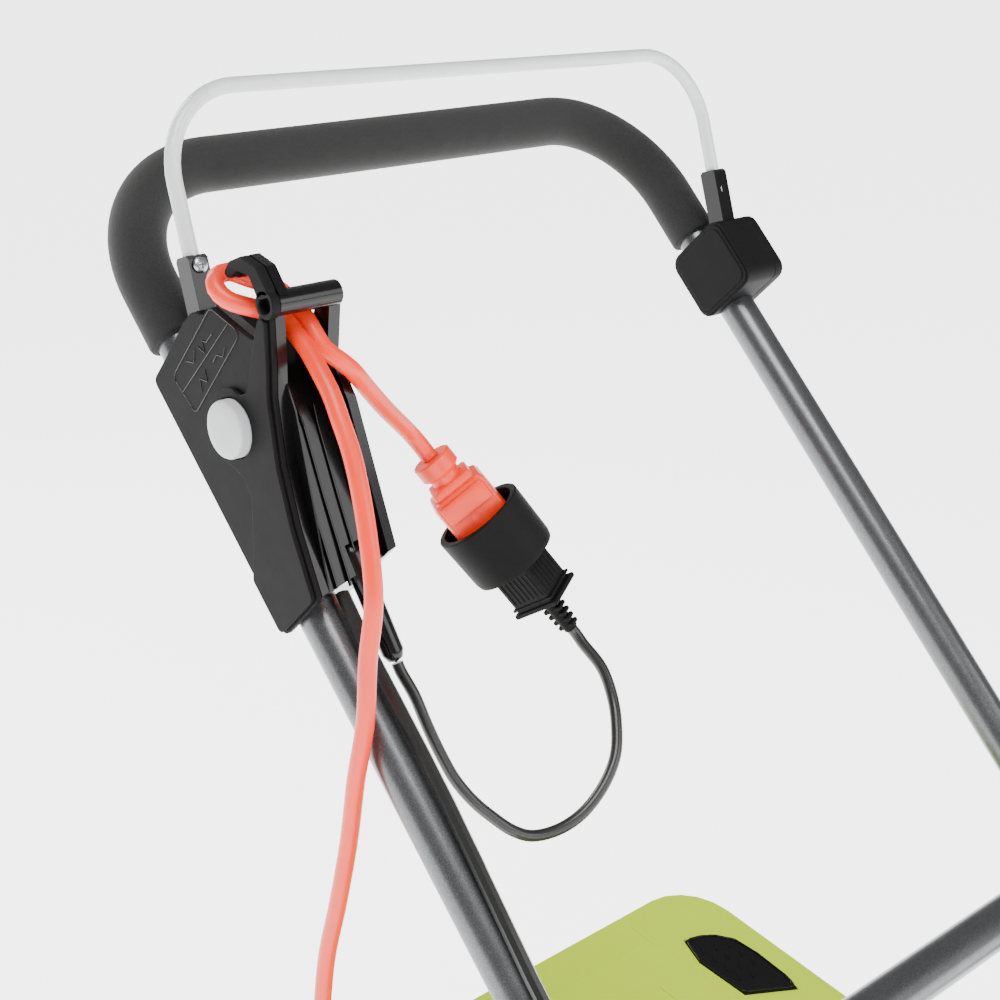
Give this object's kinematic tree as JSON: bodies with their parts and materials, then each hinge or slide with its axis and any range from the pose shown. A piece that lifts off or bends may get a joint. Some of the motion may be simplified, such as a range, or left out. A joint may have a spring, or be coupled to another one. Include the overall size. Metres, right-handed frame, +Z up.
{
  "type": "push lawn mower",
  "caption": "Corded electric push mower with a tubular handle, foam grip, bail and start button, wheeled deck with a rotary blade, and a rear grass box.",
  "frame": {"origin": "centre of the footprint, on the ground under the wheels", "axes": "+Z up, -Y the way the mower is pushed, +X towards the operator's left"},
  "size_m": [0.4903, 1.077, 1.0434],
  "materials": {
    "tube": "dark grey powder coat with a fine metallic sheen",
    "foam": "closed-cell foam, matt",
    "bail": "white coated steel rod",
    "matte_black": "fine spark texture",
    "gloss_black": "moulded, glossy",
    "button": "pale grey, faintly glazed",
    "black_cable": "flexible PVC, satin",
    "orange": "orange PVC, satin",
    "lime": "lime green, glossy",
    "zinc": "zinc plated",
    "steel": "dark coated steel",
    "wheel": "black polypropylene",
    "grey": "mid grey",
    "copper": "varnished winding over laminations"
  },
  "bodies": {
    "mower": {"upper_handle": "tube", "lower_handle": "tube", "foam_grip": "foam", "handle_bolt_right": "zinc", "handle_bolt_left": "zinc", "handle_knob_right": "gloss_black", "handle_knob_left": "gloss_black", "switch_box_outer": "matte_black", "switch_box_inner": "gloss_black", "cable_sleeve": "gloss_black", "button_spring": "zinc", "micro_switch": "gloss_black", "bail_pin_right": "zinc", "bail_pin_left": "zinc", "bail_spring": "zinc", "pivot_housing_inner": "matte_black", "pivot_housing_outer": "matte_black", "extension_connector": "orange", "pigtail_plug": "black_cable", "extension_coil": "orange", "extension_cord": "orange", "pigtail_cable": "black_cable", "extension_plug": "orange", "motor_cable": "black_cable", "cable_clip": "gloss_black", "deck": "matte_black", "handle_bracket_right": "steel", "handle_bracket_left": "steel", "flap_rod": "zinc", "motor_cover": "lime", "motor_frame": "steel", "motor_stator": "copper", "lower_bearing": "zinc", "upper_bearing": "zinc"},
    "bail": {"bail_rod": "bail", "bail_lever_right": "gloss_black", "bail_lever_left": "gloss_black", "bail_screw": "zinc"},
    "start_button": {"start_button": "button"},
    "rotor": {"motor_armature": "steel", "cooling_fan": "gloss_black", "blade": "steel", "blade_bolt": "zinc"},
    "rear_flap": {"rear_flap": "matte_black"},
    "grass_box": {"grass_box_tub": "matte_black", "grass_box_lid": "lime", "lid_vent_right": "matte_black", "lid_vent_left": "matte_black"},
    "arm_rear_right": {"height_arm_rear_right": "steel"},
    "wheel_rear_right": {"wheel_rear_right": "wheel", "hubcap_rear_right": "grey"},
    "arm_rear_left": {"height_arm_rear_left": "steel"},
    "wheel_rear_left": {"wheel_rear_left": "wheel", "hubcap_rear_left": "grey"},
    "arm_front_right": {"height_arm_front_right": "steel"},
    "wheel_front_right": {"wheel_front_right": "wheel", "hubcap_front_right": "grey"},
    "arm_front_left": {"height_arm_front_left": "steel"},
    "wheel_front_left": {"wheel_front_left": "wheel", "hubcap_front_left": "grey"}
  },
  "joints": [
    {"name": "bail_squeeze", "type": "hinge", "parent": "mower", "child": "bail", "pos_m": [0, 0.4147, 0.9078], "axis": [-1, 0, 0], "range_deg": [0, 27.5], "stiffness_Nm_per_rad": 2, "springref_deg": -14.32},
    {"name": "button_press", "type": "slide", "parent": "mower", "child": "start_button", "axis": [1, 0, 0], "range_m": [0, 0.004], "stiffness_N_per_m": 500, "springref_m": -0.004, "deforming": ["button_spring"]},
    {"name": "blade_spin", "type": "hinge", "parent": "mower", "child": "rotor", "pos_m": [0, -0.33, 0.2], "axis": [0, 0, 1], "continuous": true},
    {"name": "flap_lift", "type": "hinge", "parent": "mower", "child": "rear_flap", "pos_m": [0, -0.086, 0.258], "axis": [1, 0, 0], "range_deg": [0, 65]},
    {"name": "grass_box_lift", "type": "slide", "parent": "mower", "child": "grass_box", "axis": [0, 0.8829, 0.4695], "range_m": [0, 0.15]},
    {"name": "height_rear_right", "type": "hinge", "parent": "mower", "child": "arm_rear_right", "pos_m": [-0.2026, -0.176, 0.112], "axis": [1, 0, 0], "range_deg": [-12, 18]},
    {"name": "roll_rear_right", "type": "hinge", "parent": "arm_rear_right", "child": "wheel_rear_right", "pos_m": [-0.2229, -0.128, 0.09], "axis": [1, 0, 0], "continuous": true},
    {"name": "height_rear_left", "type": "hinge", "parent": "mower", "child": "arm_rear_left", "pos_m": [0.2026, -0.176, 0.112], "axis": [1, 0, 0], "range_deg": [-12, 18]},
    {"name": "roll_rear_left", "type": "hinge", "parent": "arm_rear_left", "child": "wheel_rear_left", "pos_m": [0.2229, -0.128, 0.09], "axis": [1, 0, 0], "continuous": true},
    {"name": "height_front_right", "type": "hinge", "parent": "mower", "child": "arm_front_right", "pos_m": [-0.2026, -0.4156, 0.097], "axis": [-1, 0, 0], "range_deg": [-12, 18]},
    {"name": "roll_front_right", "type": "hinge", "parent": "arm_front_right", "child": "wheel_front_right", "pos_m": [-0.2229, -0.4636, 0.075], "axis": [1, 0, 0], "continuous": true},
    {"name": "height_front_left", "type": "hinge", "parent": "mower", "child": "arm_front_left", "pos_m": [0.2026, -0.4156, 0.097], "axis": [-1, 0, 0], "range_deg": [-12, 18]},
    {"name": "roll_front_left", "type": "hinge", "parent": "arm_front_left", "child": "wheel_front_left", "pos_m": [0.2229, -0.4636, 0.075], "axis": [1, 0, 0], "continuous": true}
  ]
}
